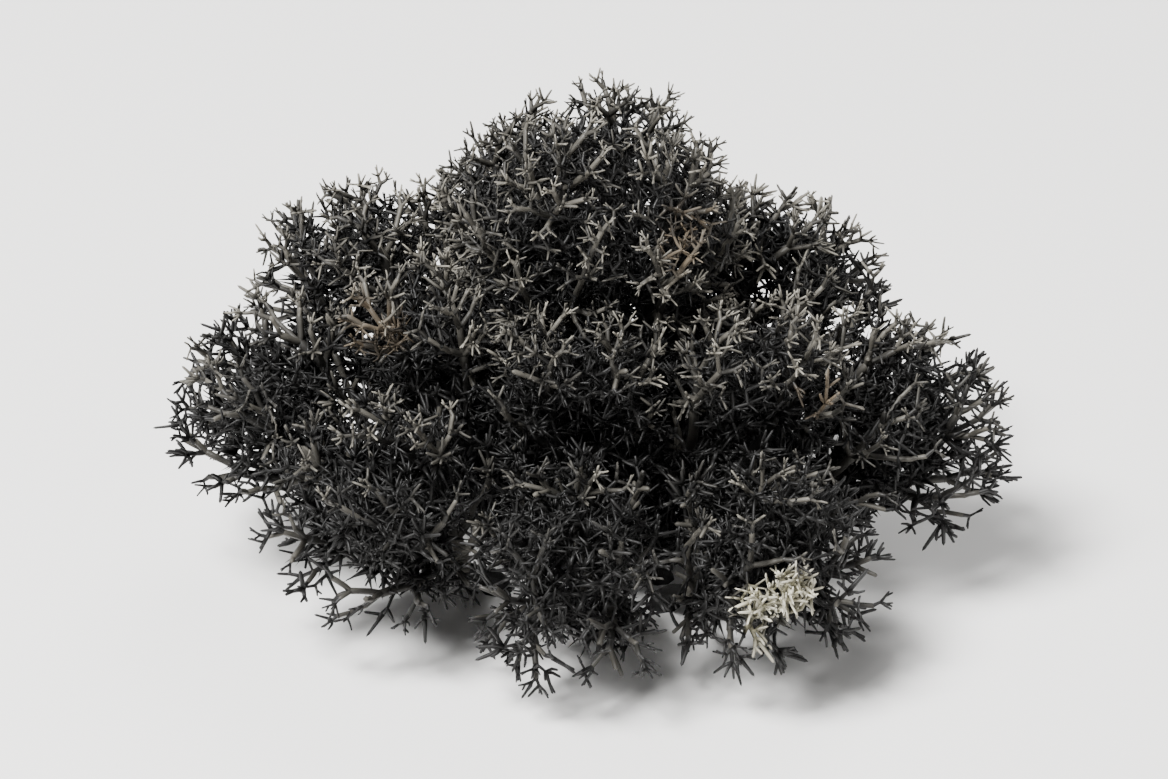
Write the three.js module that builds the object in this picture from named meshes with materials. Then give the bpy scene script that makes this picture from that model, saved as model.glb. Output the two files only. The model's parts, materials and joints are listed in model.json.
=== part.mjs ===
// A clump of dyed reindeer moss (the cushion lichen Cladonia stellaris), as picked: twelve podetia,
// the bushy hollow stalks of the lichen, that have grown side by side and hold each other up.
// Each podetium stands on its own cut foot, forks again and again into whorls of up to four arms,
// and ends in pointed twigs that together make a dense round head.
// Millimetres, +Z up. The origin is the middle of the crown podetium's foot, on the resting plane.
import * as THREE from "three";

// The podetia: where the middle of each head is, how high its top is, the head's radius,
// and the sweep of its twigs, in degrees down from the top.
const PODETIA = [
  { name: "podetium_crown", x: 0, y: 0, top: 33, r: 10.5, sweep: 118, seed: 9 },
  { name: "podetium_right_shoulder", x: 12, y: -6, top: 23, r: 8, sweep: 122, seed: 6 },
  { name: "podetium_left_shoulder", x: -15.5, y: 1.5, top: 24, r: 8, sweep: 124, seed: 4 },
  { name: "podetium_left_middle", x: -8.5, y: -7, top: 24, r: 7.5, sweep: 114, seed: 2 },
  { name: "podetium_front_middle", x: 1.5, y: -10, top: 23, r: 8, sweep: 116, seed: 3 },
  { name: "podetium_far_left", x: -19, y: -6.5, top: 19, r: 7.5, sweep: 136, seed: 6 },
  { name: "podetium_front_left", x: -10, y: -15, top: 17.5, r: 8, sweep: 138, seed: 3 },
  { name: "podetium_front_right", x: 3.5, y: -17, top: 16, r: 8, sweep: 138, seed: 5 },
  { name: "podetium_right_low", x: 14.5, y: -13.5, top: 16, r: 7.5, sweep: 138, seed: 2 },
  { name: "podetium_far_right", x: 19.5, y: 1.5, top: 18.5, r: 8, sweep: 136, seed: 6 },
  { name: "podetium_back_right", x: 9, y: 9.5, top: 23, r: 9, sweep: 128, seed: 3 },
  { name: "podetium_back_left", x: -7.5, y: 10.5, top: 23, r: 8.5, sweep: 128, seed: 4 },
];

const TIP_SPACING = 1.2; // between neighbouring growing points on a head
const LEAST_SPACING = 1.08; // where heads press on each other
const HEAD_PRESS = 0.35; // how far a head is pressed in by its neighbours, as a share of its radius
const TIP_DEPTH = 0.18; // by which growing points lie deeper than the furthest, as a share of that radius
const FURTHEST_TIP = 0.98; // from the middle of its head, in that radius
const TIP_TURN = 0.5; // by which growing points stray from their spiral, in radians
const FLOOR_CLEARANCE = 1.4; // of the lowest twig
const NEIGHBOUR_GAP = 0.16; // from a stalk's skin to the plane shared with the next podetium

const FOOT_SPLAY = 0.45; // distance of the feet from the middle, as a share of the heads'
const HEAD_HEIGHT = 18; // height at which a head has reached its full distance
const FOOT_RADIUS = 1.6;
const FOOT_SIDES = 6;
const FOOT_HEIGHT = 2.2;
const ANKLE = 0.85; // radius above the foot, in that of the first fork

const STALK_RADIUS = 0.3; // of a stalk that carries one growing point
const STALK_GROWTH = 0.2; // power by which a stalk thickens with what it carries
const FORK_FLARE = 1.3; // of a stalk at its fork, in its own radii
const LEAST_RADIUS = 0.28; // of a fork between close neighbours
const STALK_GAP = 0.08; // between stalks of one podetium
const FORK_DEPTH = [2.1, 1.5, 1.3]; // below its growing points, by level, in their distance from their middle
const FORK_SHARE = [0.25, 0.65]; // least and most of the way to its growing points, where a stalk forks
const SWAY = 0.05; // of a fork off the straight way, as a share of that way
const WEB_RISE = 0.45; // of the web in the middle of a fork, as a share of its shortest arm
const MOST_ARMS = 4;
const WIDE_WHORL = 28; // growing points above which a fork has the most arms, and one fewer below
const LEAST_ARM_GAP = 1.5; // between the arms of a fork, in radians round it
const WIDEST_ARM = 1.75; // between an arm and the stalk that it leaves, in radians
const WIDEST_SPREAD = 1.2; // of a fork's arms from its middle, in radians, that lowers its web
const LEAST_TWIG = 0.8;
const LOBE_BULGE = [0.14, 0.06]; // rise of the first and second lobes of a head, in radii
const PASSES = 6; // of a rule that is worked out by repeating it

const DYED_LICHEN = { color: 0x2b2926, roughness: 0.62, metalness: 0 };
const ZERO = new THREE.Vector3();
const UP = new THREE.Vector3(0, 0, 1);
const FULL_TURN = 2 * Math.PI;
const GOLDEN_ANGLE = Math.PI * (3 - Math.sqrt(5));

// A seeded draw between 0 and 1, the same on every run.
function seededDraw(seed) {
  let state = seed >>> 0;
  return () => {
    state = (Math.imul(state, 1664525) + 1013904223) >>> 0;
    return state / 4294967296;
  };
}

// A steady pseudo-random number from -0.5 to 0.5 for a place in the branching.
function wobble(index, step) {
  const wave = Math.sin(index * 12.9898 + step * 78.233) * 43758.5453;
  return wave - Math.floor(wave) - 0.5;
}

const powerOf = ({ x, y, r }) => x ** 2 + y ** 2 - r ** 2;

// The planes that part a podetium from each of its neighbours: its own side is where
// normal . (x, y) <= reach * splay(z). They lean outwards as the heads spread.
function sharedPlanes(own) {
  return PODETIA.filter((other) => other !== own).map((other) => {
    const apart = Math.hypot(other.x - own.x, other.y - own.y);
    const nx = (other.x - own.x) / apart;
    const ny = (other.y - own.y) / apart;
    const reach = (powerOf(other) - powerOf(own)) / (2 * apart);
    const lean = (reach * (1 - FOOT_SPLAY)) / HEAD_HEIGHT;
    const length = Math.hypot(1, lean);
    return {
      normal: new THREE.Vector3(nx, ny, -lean).divideScalar(length),
      offset: (reach * FOOT_SPLAY) / length,
    };
  });
}

// Moves a point back until it is at least a margin inside every shared plane.
function keepInside(point, planes, margin) {
  const kept = point.clone();
  for (let pass = 0; pass < PASSES; pass++) {
    for (const { normal, offset } of planes) {
      const over = kept.dot(normal) - offset + margin;
      if (over > 0) kept.addScaledVector(normal, -over);
    }
  }
  return kept;
}

function middleOf(points) {
  const sum = new THREE.Vector3();
  for (const point of points) sum.add(point);
  return sum.divideScalar(points.length);
}

// The growing points of a head, spread evenly over its dome.
function growingPoints(podetium, planes) {
  const draw = seededDraw(podetium.seed);
  const { x, y, top, r, sweep } = podetium;
  const centre = new THREE.Vector3(x, y, top - r);
  const lowest = Math.cos((sweep * Math.PI) / 180);
  const count = Math.round((FULL_TURN * r * r * (1 - lowest)) / TIP_SPACING ** 2);
  const points = [];
  for (let i = 0; i < count; i++) {
    const up = 1 - ((1 - lowest) * (i + 0.5)) / count;
    const out = Math.sqrt(1 - up * up);
    const turn = i * GOLDEN_ANGLE + podetium.seed + TIP_TURN * (draw() - 0.5);
    const reach = r * (FURTHEST_TIP - TIP_DEPTH * draw());
    const point = new THREE.Vector3(out * Math.cos(turn), out * Math.sin(turn), up)
      .multiplyScalar(reach)
      .add(centre);
    const kept = keepInside(point, planes, NEIGHBOUR_GAP);
    if (kept.distanceTo(point) > HEAD_PRESS * r || kept.z < FLOOR_CLEARANCE) continue;
    if (points.every((other) => other.distanceTo(kept) > LEAST_SPACING)) points.push(kept);
  }
  return points;
}

// Two directions square to a way and to each other.
function sideways(way) {
  const turn = new THREE.Quaternion().setFromUnitVectors(UP, way);
  const sides = [new THREE.Vector3(1, 0, 0), new THREE.Vector3(0, 1, 0)];
  return sides.map((side) => side.applyQuaternion(turn));
}

// The angle round a way at which a point lies, seen from a centre.
function angleRound([across, along], centre, point) {
  const out = point.clone().sub(centre);
  return Math.atan2(out.dot(along), out.dot(across));
}

// An angle brought to between nothing and a full turn.
const wrapped = (angle) => ((angle % FULL_TURN) + FULL_TURN) % FULL_TURN;

// Parts points into groups by the direction in which they lie from a fork.
function splitByDirection(points, fork, groups) {
  const ways = points.map((point) => point.clone().sub(fork).normalize());
  const middles = [ways[0].clone()];
  while (middles.length < groups) {
    let best = 0;
    let bestWay = ways[0];
    for (const way of ways) {
      const nearest = Math.min(...middles.map((middle) => middle.distanceTo(way)));
      if (nearest > best) {
        best = nearest;
        bestWay = way;
      }
    }
    middles.push(bestWay.clone());
  }
  let member = [];
  for (let pass = 0; pass < PASSES; pass++) {
    member = ways.map((way) => {
      const gaps = middles.map((middle) => middle.distanceTo(way));
      return gaps.indexOf(Math.min(...gaps));
    });
    for (let g = 0; g < groups; g++) {
      const own = ways.filter((_, i) => member[i] === g);
      if (own.length) middles[g].copy(middleOf(own));
    }
  }
  const parted = middles.map((_, g) => points.filter((_, i) => member[i] === g));
  return parted.filter((group) => group.length > 0);
}

// The whorl in which a fork's points part: as many arms, up to a number, as stand well round it.
function whorlOf(points, fork, most) {
  for (let count = most; count > 2; count--) {
    const groups = splitByDirection(points, fork, count);
    const ways = groups.map((group) => middleOf(group).sub(fork).normalize());
    const sides = sideways(middleOf(ways).normalize());
    const angles = ways.map((way) => wrapped(angleRound(sides, ZERO, way))).sort((a, b) => a - b);
    const gaps = angles.map((angle, i) => wrapped(angles[(i + 1) % angles.length] - angle));
    if (groups.length === count && Math.min(...gaps) > LEAST_ARM_GAP) return groups;
  }
  return splitByDirection(points, fork, 2);
}

// Raises a group of growing points into a lobe: most in its middle, not at all at its rim, nor
// where that would reach into the next podetium.
function bulge(points, centre, rise, planes) {
  const middle = middleOf(points);
  const rim = Math.max(...points.map((point) => point.distanceTo(middle)));
  return points.map((point) => {
    const share = point.distanceTo(middle) / rim;
    const out = point.clone().sub(centre).normalize();
    const raised = point.clone().addScaledVector(out, rise * (1 - share * share));
    return keepInside(raised, planes, NEIGHBOUR_GAP).equals(raised) ? raised : point;
  });
}

// The tree of one podetium: a place for every fork and every twig's point, from the foot upwards.
function grow(podetium, planes, from, points, level) {
  const tips = points.length;
  if (tips === 1) return { from, at: points[0], radius: 0, arms: [] };
  const middle = middleOf(points);
  const radius = FORK_FLARE * STALK_RADIUS * tips ** STALK_GROWTH;
  const whole = from.distanceTo(middle);
  const spread = Math.sqrt(points.reduce((sum, point) => sum + point.distanceToSquared(middle), 0) / tips);
  const depth = (FORK_DEPTH[level] ?? FORK_DEPTH.at(-1)) * spread;
  const share = THREE.MathUtils.clamp(1 - depth / whole, ...FORK_SHARE);
  const fork = from.clone().lerp(middle, share);
  fork.x += SWAY * whole * wobble(tips, level + podetium.seed);
  fork.y += SWAY * whole * wobble(-tips, level + podetium.seed);
  const at = keepInside(fork, planes, radius + NEIGHBOUR_GAP);
  const inward = at.clone().sub(from);
  const ahead = points.filter((point) => {
    const way = point.clone().sub(at);
    return way.length() > LEAST_TWIG && way.angleTo(inward) < WIDEST_ARM;
  });
  if (ahead.length < 2) return { from, at: ahead[0] ?? points[0], radius: 0, arms: [] };
  const centre = new THREE.Vector3(podetium.x, podetium.y, podetium.top - podetium.r);
  const rise = (LOBE_BULGE[level] ?? 0) * podetium.r;
  const whorl = ahead.length > WIDE_WHORL || ahead.length === MOST_ARMS ? MOST_ARMS : MOST_ARMS - 1;
  const arms = whorlOf(ahead, at, Math.min(whorl, ahead.length)).map((group) => {
    const lobe = rise && group.length > 1 ? bulge(group, centre, rise, planes) : group;
    return grow(podetium, planes, at, lobe, level + 1);
  });
  return { from, at, radius, arms };
}

// Every stalk and twig of a tree, each with the radius at its root.
function stalksOf(tree, rootRadius) {
  return [{ tree, rootRadius }, ...tree.arms.flatMap((arm) => stalksOf(arm, tree.radius / 2))];
}

// Narrows each fork until it stands clear of every stalk that isn't its own.
function makeRoom(tree) {
  const nearest = new THREE.Vector3();
  for (const { tree: fork } of stalksOf(tree, tree.radius)) {
    if (fork.arms.length === 0) continue;
    for (const { tree: other, rootRadius } of stalksOf(tree, tree.radius)) {
      if (other === fork || fork.arms.includes(other)) continue;
      const line = new THREE.Line3(other.from, other.at);
      const share = line.closestPointToPointParameter(fork.at, true);
      const reach = line.at(share, nearest).distanceTo(fork.at);
      const width = THREE.MathUtils.lerp(rootRadius, other.radius, share);
      const room = (reach * fork.radius) / (fork.radius + width + STALK_GAP);
      fork.radius = Math.max(LEAST_RADIUS, Math.min(fork.radius, room));
    }
  }
}

// A skin: the corners of one closed mesh, and its walls as triples of corner numbers.
function addCorner(skin, point) {
  skin.corners.push(point);
  return skin.corners.length - 1;
}

// Adds a ring of corners round a point, at given angles about the way it faces.
function addRing(skin, at, way, radius, angles) {
  const [across, along] = sideways(way);
  return angles.map((angle) => {
    const corner = at.clone();
    corner.addScaledVector(across, radius * Math.cos(angle)).addScaledVector(along, radius * Math.sin(angle));
    return addCorner(skin, corner);
  });
}

// Walls between two rings, each running counter-clockwise as seen from the far one.
function addTube(skin, near, far, way) {
  const sides = sideways(way);
  const anglesOf = (ring) => {
    const points = ring.map((i) => skin.corners[i]);
    const centre = middleOf(points);
    return points.map((point) => angleRound(sides, centre, point));
  };
  const nearAngles = anglesOf(near);
  const farAngles = anglesOf(far);
  const leads = farAngles.map((angle) => wrapped(angle - nearAngles[0] + Math.PI) - Math.PI);
  const offsets = leads.map(Math.abs);
  const first = offsets.indexOf(Math.min(...offsets));
  const nearAt = (i) => (i === near.length ? FULL_TURN : wrapped(nearAngles[i] - nearAngles[0]));
  const farTurn = (j) => wrapped(farAngles[(first + j) % far.length] - farAngles[first]);
  const farAt = (j) => leads[first] + (j === far.length ? FULL_TURN : farTurn(j));
  let i = 0;
  let j = 0;
  while (i < near.length || j < far.length) {
    const here = near[i % near.length];
    const there = far[(first + j) % far.length];
    const nearFirst = i < near.length && nearAt(i + 1) + nearAt(i) <= farAt(j + 1) + farAt(j);
    if (j === far.length || nearFirst) {
      skin.walls.push([here, near[(i + 1) % near.length], there]);
      i++;
    } else {
      skin.walls.push([here, far[(first + j + 1) % far.length], there]);
      j++;
    }
  }
}

// The sectors into which a fork's ring is parted between its arms: each lies round its own arm,
// with its width evened out by half towards that of the others.
function sectorsOf(arms, at, way) {
  const sides = sideways(way);
  const sorted = arms
    .map((arm) => ({ arm, angle: angleRound(sides, at, arm.at) }))
    .sort((a, b) => a.angle - b.angle);
  const count = sorted.length;
  const gaps = sorted.map(({ angle }, i) => wrapped(sorted[(i + 1) % count].angle - angle));
  const widths = gaps.map((gap, i) => (gap + gaps[(i + count - 1) % count]) / 4 + Math.PI / count);
  let edge = sorted[0].angle - widths[0] / 2;
  const starts = widths.map((width) => {
    edge += width;
    return edge - width;
  });
  const strays = sorted.map(({ angle }, i) => wrapped(starts[i] + widths[i] / 2 - angle + Math.PI) - Math.PI);
  const drift = strays.reduce((sum, stray) => sum + stray, 0) / count;
  return sorted.map(({ arm }, i) => ({ arm, start: starts[i] - drift, width: widths[i] }));
}

// Grows a stalk from a ring of corners to its fork, and then every arm of the fork from its own
// sector of the fork's ring, which a web in the middle closes. A stalk that carries one growing
// point ends in it.
function addStalk(skin, near, from, tree, level) {
  if (tree.arms.length === 0) {
    const point = addCorner(skin, tree.at);
    near.forEach((corner, i) => skin.walls.push([corner, near[(i + 1) % near.length], point]));
    return;
  }
  const ways = tree.arms.map((arm) => arm.at.clone().sub(tree.at));
  const way = middleOf(ways.map((arm) => arm.clone().normalize())).normalize();
  const spread = ways.reduce((sum, arm) => sum + arm.angleTo(way), 0) / ways.length;
  const shortest = Math.min(...ways.map((arm) => arm.length()));
  const rise = WEB_RISE * shortest * Math.cos(Math.min(spread, WIDEST_SPREAD));
  const sectors = sectorsOf(tree.arms, tree.at, way);
  const steps = level === 0 || sectors.length === 2 ? 2 : 1;
  const angles = sectors.flatMap(({ start, width }) =>
    Array.from({ length: steps }, (_, i) => start + (i * width) / steps),
  );
  const ring = addRing(skin, tree.at, way, tree.radius, angles);
  addTube(skin, near, ring, tree.at.clone().sub(from).normalize());
  const web = addCorner(skin, tree.at.clone().addScaledVector(way, rise));
  sectors.forEach(({ arm }, i) => {
    const own = Array.from({ length: steps + 1 }, (_, step) => ring[(i * steps + step) % ring.length]);
    addStalk(skin, [...own, web], tree.at, arm, level + 1);
  });
}

function podetiumMesh(podetium) {
  const planes = sharedPlanes(podetium);
  const at = new THREE.Vector3(podetium.x * FOOT_SPLAY, podetium.y * FOOT_SPLAY, 0);
  const tree = grow(podetium, planes, at, growingPoints(podetium, planes), 0);
  makeRoom(tree);
  const skin = { corners: [], walls: [] };
  const angles = Array.from({ length: FOOT_SIDES }, (_, i) => (FULL_TURN * i) / FOOT_SIDES);
  const ground = addRing(skin, at, UP, FOOT_RADIUS, angles);
  for (let i = 2; i < ground.length; i++) skin.walls.push([ground[0], ground[i], ground[i - 1]]);
  const way = tree.at.clone().sub(at).normalize();
  const ankleAt = at.clone().addScaledVector(way, FOOT_HEIGHT);
  const ankle = addRing(skin, ankleAt, way, ANKLE * tree.radius, angles);
  addTube(skin, ground, ankle, way);
  addStalk(skin, ankle, ankleAt, tree, 0);
  const geometry = new THREE.BufferGeometry().setFromPoints(skin.corners);
  geometry.setIndex(skin.walls.flat());
  geometry.computeVertexNormals();
  const mesh = new THREE.Mesh(geometry, new THREE.MeshStandardMaterial(DYED_LICHEN));
  mesh.name = podetium.name;
  return mesh;
}

const clump = new THREE.Group();
for (const podetium of PODETIA) clump.add(podetiumMesh(podetium));

export default clump;
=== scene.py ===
# %% [markdown]
# # A clump of dyed reindeer moss
# The object is a cushion lichen that was picked, dyed black and softened for craft work. It is
# twelve podetia, the bushy stalks of the lichen, standing side by side on their cut feet. The
# simple solids of the frame give each podetium its place, its height and its forks. Here each one
# gets what the eye reads as moss: slender curved stalks, fine twigs and thousands of star whorls.

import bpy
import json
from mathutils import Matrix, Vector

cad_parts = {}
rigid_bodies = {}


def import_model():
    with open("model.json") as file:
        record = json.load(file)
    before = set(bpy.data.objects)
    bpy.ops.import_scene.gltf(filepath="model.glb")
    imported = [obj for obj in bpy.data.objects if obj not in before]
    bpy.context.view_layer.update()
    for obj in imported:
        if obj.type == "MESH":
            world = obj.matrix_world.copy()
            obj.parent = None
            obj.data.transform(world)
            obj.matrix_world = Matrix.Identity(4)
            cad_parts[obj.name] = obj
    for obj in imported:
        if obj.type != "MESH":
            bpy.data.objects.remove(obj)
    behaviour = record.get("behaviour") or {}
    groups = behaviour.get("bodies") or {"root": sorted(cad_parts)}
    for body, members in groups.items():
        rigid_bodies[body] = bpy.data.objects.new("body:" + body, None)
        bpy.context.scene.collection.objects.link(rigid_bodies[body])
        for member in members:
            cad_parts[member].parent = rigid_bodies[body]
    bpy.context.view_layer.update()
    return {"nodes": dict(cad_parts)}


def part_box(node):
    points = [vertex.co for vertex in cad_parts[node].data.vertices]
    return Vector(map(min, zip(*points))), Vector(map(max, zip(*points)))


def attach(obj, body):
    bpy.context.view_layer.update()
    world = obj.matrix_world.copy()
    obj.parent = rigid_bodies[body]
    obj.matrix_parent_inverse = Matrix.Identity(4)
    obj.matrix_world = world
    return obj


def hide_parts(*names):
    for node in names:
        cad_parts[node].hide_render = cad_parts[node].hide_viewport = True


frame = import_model()
print("solids in the frame:", len(frame["nodes"]))

# %% Other modules
import json
import math

import bmesh
import bpy
import numpy as np
from mathutils import Euler, Vector, noise

# %% [markdown]
# ## Where the podetia stand
# The same driving sizes as the solids have: the middle of each head, how high it reaches and its
# radius in millimetres, and how many degrees down its sides the twigs go. They could be read off the
# boxes of the solids, but a head is pressed in by its neighbours, so its box doesn't give its dome.

# %% Podetia
MM = 0.001
PODETIA = [
    dict(name="podetium_crown", x=0, y=0, top=33, r=10.5, sweep=118, seed=9),
    dict(name="podetium_right_shoulder", x=12, y=-6, top=23, r=8, sweep=122, seed=6),
    dict(name="podetium_left_shoulder", x=-15.5, y=1.5, top=24, r=8, sweep=124, seed=4),
    dict(name="podetium_left_middle", x=-8.5, y=-7, top=24, r=7.5, sweep=114, seed=2),
    dict(name="podetium_front_middle", x=1.5, y=-10, top=23, r=8, sweep=116, seed=3),
    dict(name="podetium_far_left", x=-19, y=-6.5, top=19, r=7.5, sweep=136, seed=6),
    dict(name="podetium_front_left", x=-10, y=-15, top=17.5, r=8, sweep=138, seed=3),
    dict(name="podetium_front_right", x=3.5, y=-17, top=16, r=8, sweep=138, seed=5),
    dict(name="podetium_right_low", x=14.5, y=-13.5, top=16, r=7.5, sweep=138, seed=2),
    dict(name="podetium_far_right", x=19.5, y=1.5, top=18.5, r=8, sweep=136, seed=6),
    dict(name="podetium_back_right", x=9, y=9.5, top=23, r=9, sweep=128, seed=3),
    dict(name="podetium_back_left", x=-7.5, y=10.5, top=23, r=8.5, sweep=128, seed=4),
]


def head_middle(podetium):
    return np.array([podetium["x"], podetium["y"], podetium["top"] - podetium["r"]])


for podetium in PODETIA:
    low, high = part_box(podetium["name"])
    print(podetium["name"], "is", [round(side / MM, 1) for side in high - low], "mm")

# %% [markdown]
# ## The planes between neighbours
# Heads that grow side by side press each other flat where they meet. A plane between each pair
# gives that: it leans outwards, because the feet stand closer together than the heads. Cutting the
# twigs off there would leave stumps, so growing points are moved back behind the plane instead.

# %% Planes
FOOT_SPLAY = 0.45  # distance of the feet from the middle, as a share of the heads'
HEAD_HEIGHT = 18  # height at which a head has reached its full distance, mm
NEIGHBOUR_GAP = 0.16  # from a growing point to the plane, mm
PASSES = 6  # of a rule that is worked out by repeating it


def power_of(podetium):
    return podetium["x"] ** 2 + podetium["y"] ** 2 - podetium["r"] ** 2


def shared_planes(own):
    """Normals and offsets: a podetium's own side is where normal . point <= offset."""
    normals, offsets = [], []
    for other in PODETIA:
        if other is own:
            continue
        away = np.array([other["x"] - own["x"], other["y"] - own["y"]], float)
        apart = np.hypot(*away)
        reach = (power_of(other) - power_of(own)) / (2 * apart)
        lean = reach * (1 - FOOT_SPLAY) / HEAD_HEIGHT
        length = math.hypot(1, lean)
        normals.append(np.array([*(away / apart), -lean]) / length)
        offsets.append(reach * FOOT_SPLAY / length)
    return np.array(normals), np.array(offsets)


def keep_inside(point, planes, margin):
    """Moves a point back until it is a margin inside every plane."""
    kept = np.array(point, float)
    for _ in range(PASSES):
        for normal, offset in zip(*planes):
            over = kept @ normal - offset + margin
            if over > 0:
                kept = kept - normal * over
    return kept


print("planes round the crown:", len(shared_planes(PODETIA[0])[0]))

# %% [markdown]
# ## Growing points
# A golden-angle spiral spreads points evenly over a dome, as seeds are spread on a sunflower. A
# random scatter would leave bald spots and knots. Each point lies a little deeper or less deep than
# the next, so that the head isn't as smooth as a ball.

# %% Growing points
TIP_SPACING = 1.2  # between neighbouring growing points, mm
LEAST_SPACING = 1.08  # where heads press on each other, mm
HEAD_PRESS = 0.35  # how far a head is pressed in, as a share of its radius
FURTHEST_TIP = 0.98  # from the middle of its head, in that radius
TIP_DEPTH = 0.18  # by which growing points lie deeper than the furthest, in that radius
TIP_TURN = 0.5  # by which they stray from their spiral, radians
FLOOR_CLEARANCE = 1.4  # of the lowest growing point, mm
GOLDEN_ANGLE = math.pi * (3 - math.sqrt(5))
DRAW_FACTOR = 1664525  # three numbers that make a long run of draws without a repeat
DRAW_STEP = 1013904223
DRAW_RANGE = 2**32


def seeded_draw(seed):
    """A source of numbers between 0 and 1, the same on every run."""
    state = seed
    while True:
        state = (state * DRAW_FACTOR + DRAW_STEP) % DRAW_RANGE
        yield state / DRAW_RANGE


def growing_points(podetium, planes):
    """The points of the spiral on a head's dome that its neighbours and the floor leave room for."""
    draw = seeded_draw(podetium["seed"])
    r = podetium["r"]
    centre = head_middle(podetium)
    lowest = math.cos(math.radians(podetium["sweep"]))
    count = math.floor(2 * math.pi * r * r * (1 - lowest) / TIP_SPACING**2 + 0.5)
    points = []
    for i in range(count):
        up = 1 - (1 - lowest) * (i + 0.5) / count
        out = math.sqrt(1 - up * up)
        turn = i * GOLDEN_ANGLE + podetium["seed"] + TIP_TURN * (next(draw) - 0.5)
        reach = r * (FURTHEST_TIP - TIP_DEPTH * next(draw))
        point = centre + reach * np.array([out * math.cos(turn), out * math.sin(turn), up])
        kept = keep_inside(point, planes, NEIGHBOUR_GAP)
        if np.linalg.norm(kept - point) > HEAD_PRESS * r or kept[2] < FLOOR_CLEARANCE:
            continue
        if not points or np.linalg.norm(np.array(points) - kept, axis=1).min() > LEAST_SPACING:
            points.append(kept)
    return np.array(points)


growing = {podetium["name"]: growing_points(podetium, shared_planes(podetium)) for podetium in PODETIA}
for name, points in growing.items():
    print(name, "has", len(points), "growing points")

# %% [markdown]
# ## Forks
# The lichen parts at every fork into a whorl of two to four arms that stand well round the stalk.
# To find them, the growing points that a fork serves are parted by the direction in which they lie,
# and each part becomes an arm that forks again, until a stalk serves one point.

# %% Whorls
MOST_ARMS = 4
WIDE_WHORL = 28  # growing points above which a fork has the most arms
LEAST_ARM_GAP = 1.5  # between the arms of a fork, radians round it
NEARLY_ALONG_X = 0.8  # likeness of a way to the x axis, as a cosine, from which y helps instead
FULL_TURN = 2 * math.pi


def unit(vectors):
    return vectors / np.linalg.norm(vectors, axis=-1, keepdims=True)


def sideways(way):
    """Two directions square to a way and to each other."""
    helper = np.array([1.0, 0, 0]) if abs(way[0]) < NEARLY_ALONG_X else np.array([0, 1.0, 0])
    across = unit(np.cross(way, helper))
    return across, np.cross(way, across)


def split_by_direction(points, fork, groups):
    """Parts growing points into groups that lie in one direction from a fork each."""
    ways = unit(points - fork)
    middles = [ways[0]]
    while len(middles) < groups:
        gaps = np.linalg.norm(ways[:, None] - np.array(middles)[None], axis=2).min(axis=1)
        middles.append(ways[gaps.argmax()])
    middles = np.array(middles)
    for _ in range(PASSES):
        member = np.linalg.norm(ways[:, None] - middles[None], axis=2).argmin(axis=1)
        for g in range(groups):
            if (member == g).any():
                middles[g] = ways[member == g].mean(axis=0)
    return [points[member == g] for g in range(groups) if (member == g).any()]


def whorl_of(points, fork, most):
    """The groups of the widest whorl whose arms stand well apart, or else of a plain fork."""
    for count in range(most, 2, -1):
        groups = split_by_direction(points, fork, count)
        ways = np.array([unit(group.mean(axis=0) - fork) for group in groups])
        across, along = sideways(unit(ways.mean(axis=0)))
        angles = np.sort(np.arctan2(ways @ along, ways @ across) % FULL_TURN)
        gaps = (np.roll(angles, -1) - angles) % FULL_TURN
        if len(groups) == count and gaps.min() > LEAST_ARM_GAP:
            return groups
    return split_by_direction(points, fork, 2)


# %% Grow a tree of forks
FORK_DEPTH = [2.1, 1.5, 1.3]  # of a fork below its growing points, by level, in their spread
FORK_SHARE = (0.25, 0.65)  # least and most of the way to its growing points, where a stalk forks
SWAY = 0.05  # of a fork off the straight way, as a share of that way
WIDEST_ARM = 1.75  # between an arm and the stalk that it leaves, radians
LEAST_TWIG = 0.8  # from a fork to a growing point that it serves, mm
LOBE_BULGE = (0.14, 0.06)  # rise of the first and second lobes of a head, in its radius
FORK_MARGIN = 0.7  # of a fork from the planes, mm
WOBBLE_TURNS = (12.9898, 78.233)  # uneven turns, whose sine times the next number looks random
WOBBLE_SPREAD = 43758.5453


def wobble(index, step):
    """A steady number from -0.5 to 0.5 for a place in the branching."""
    turns = index * WOBBLE_TURNS[0] + step * WOBBLE_TURNS[1]
    return (math.sin(turns) * WOBBLE_SPREAD) % 1 - 0.5


def bulge(points, centre, rise, planes):
    """Raises a group of growing points into a lobe, where that stays behind the planes."""
    from_middle = np.linalg.norm(points - points.mean(axis=0), axis=1)
    share = from_middle / from_middle.max()
    raised = points + unit(points - centre) * (rise * (1 - share**2))[:, None]
    over = raised @ planes[0].T - planes[1] + NEIGHBOUR_GAP
    return np.where((over > 0).any(axis=1)[:, None], points, raised)


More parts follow.
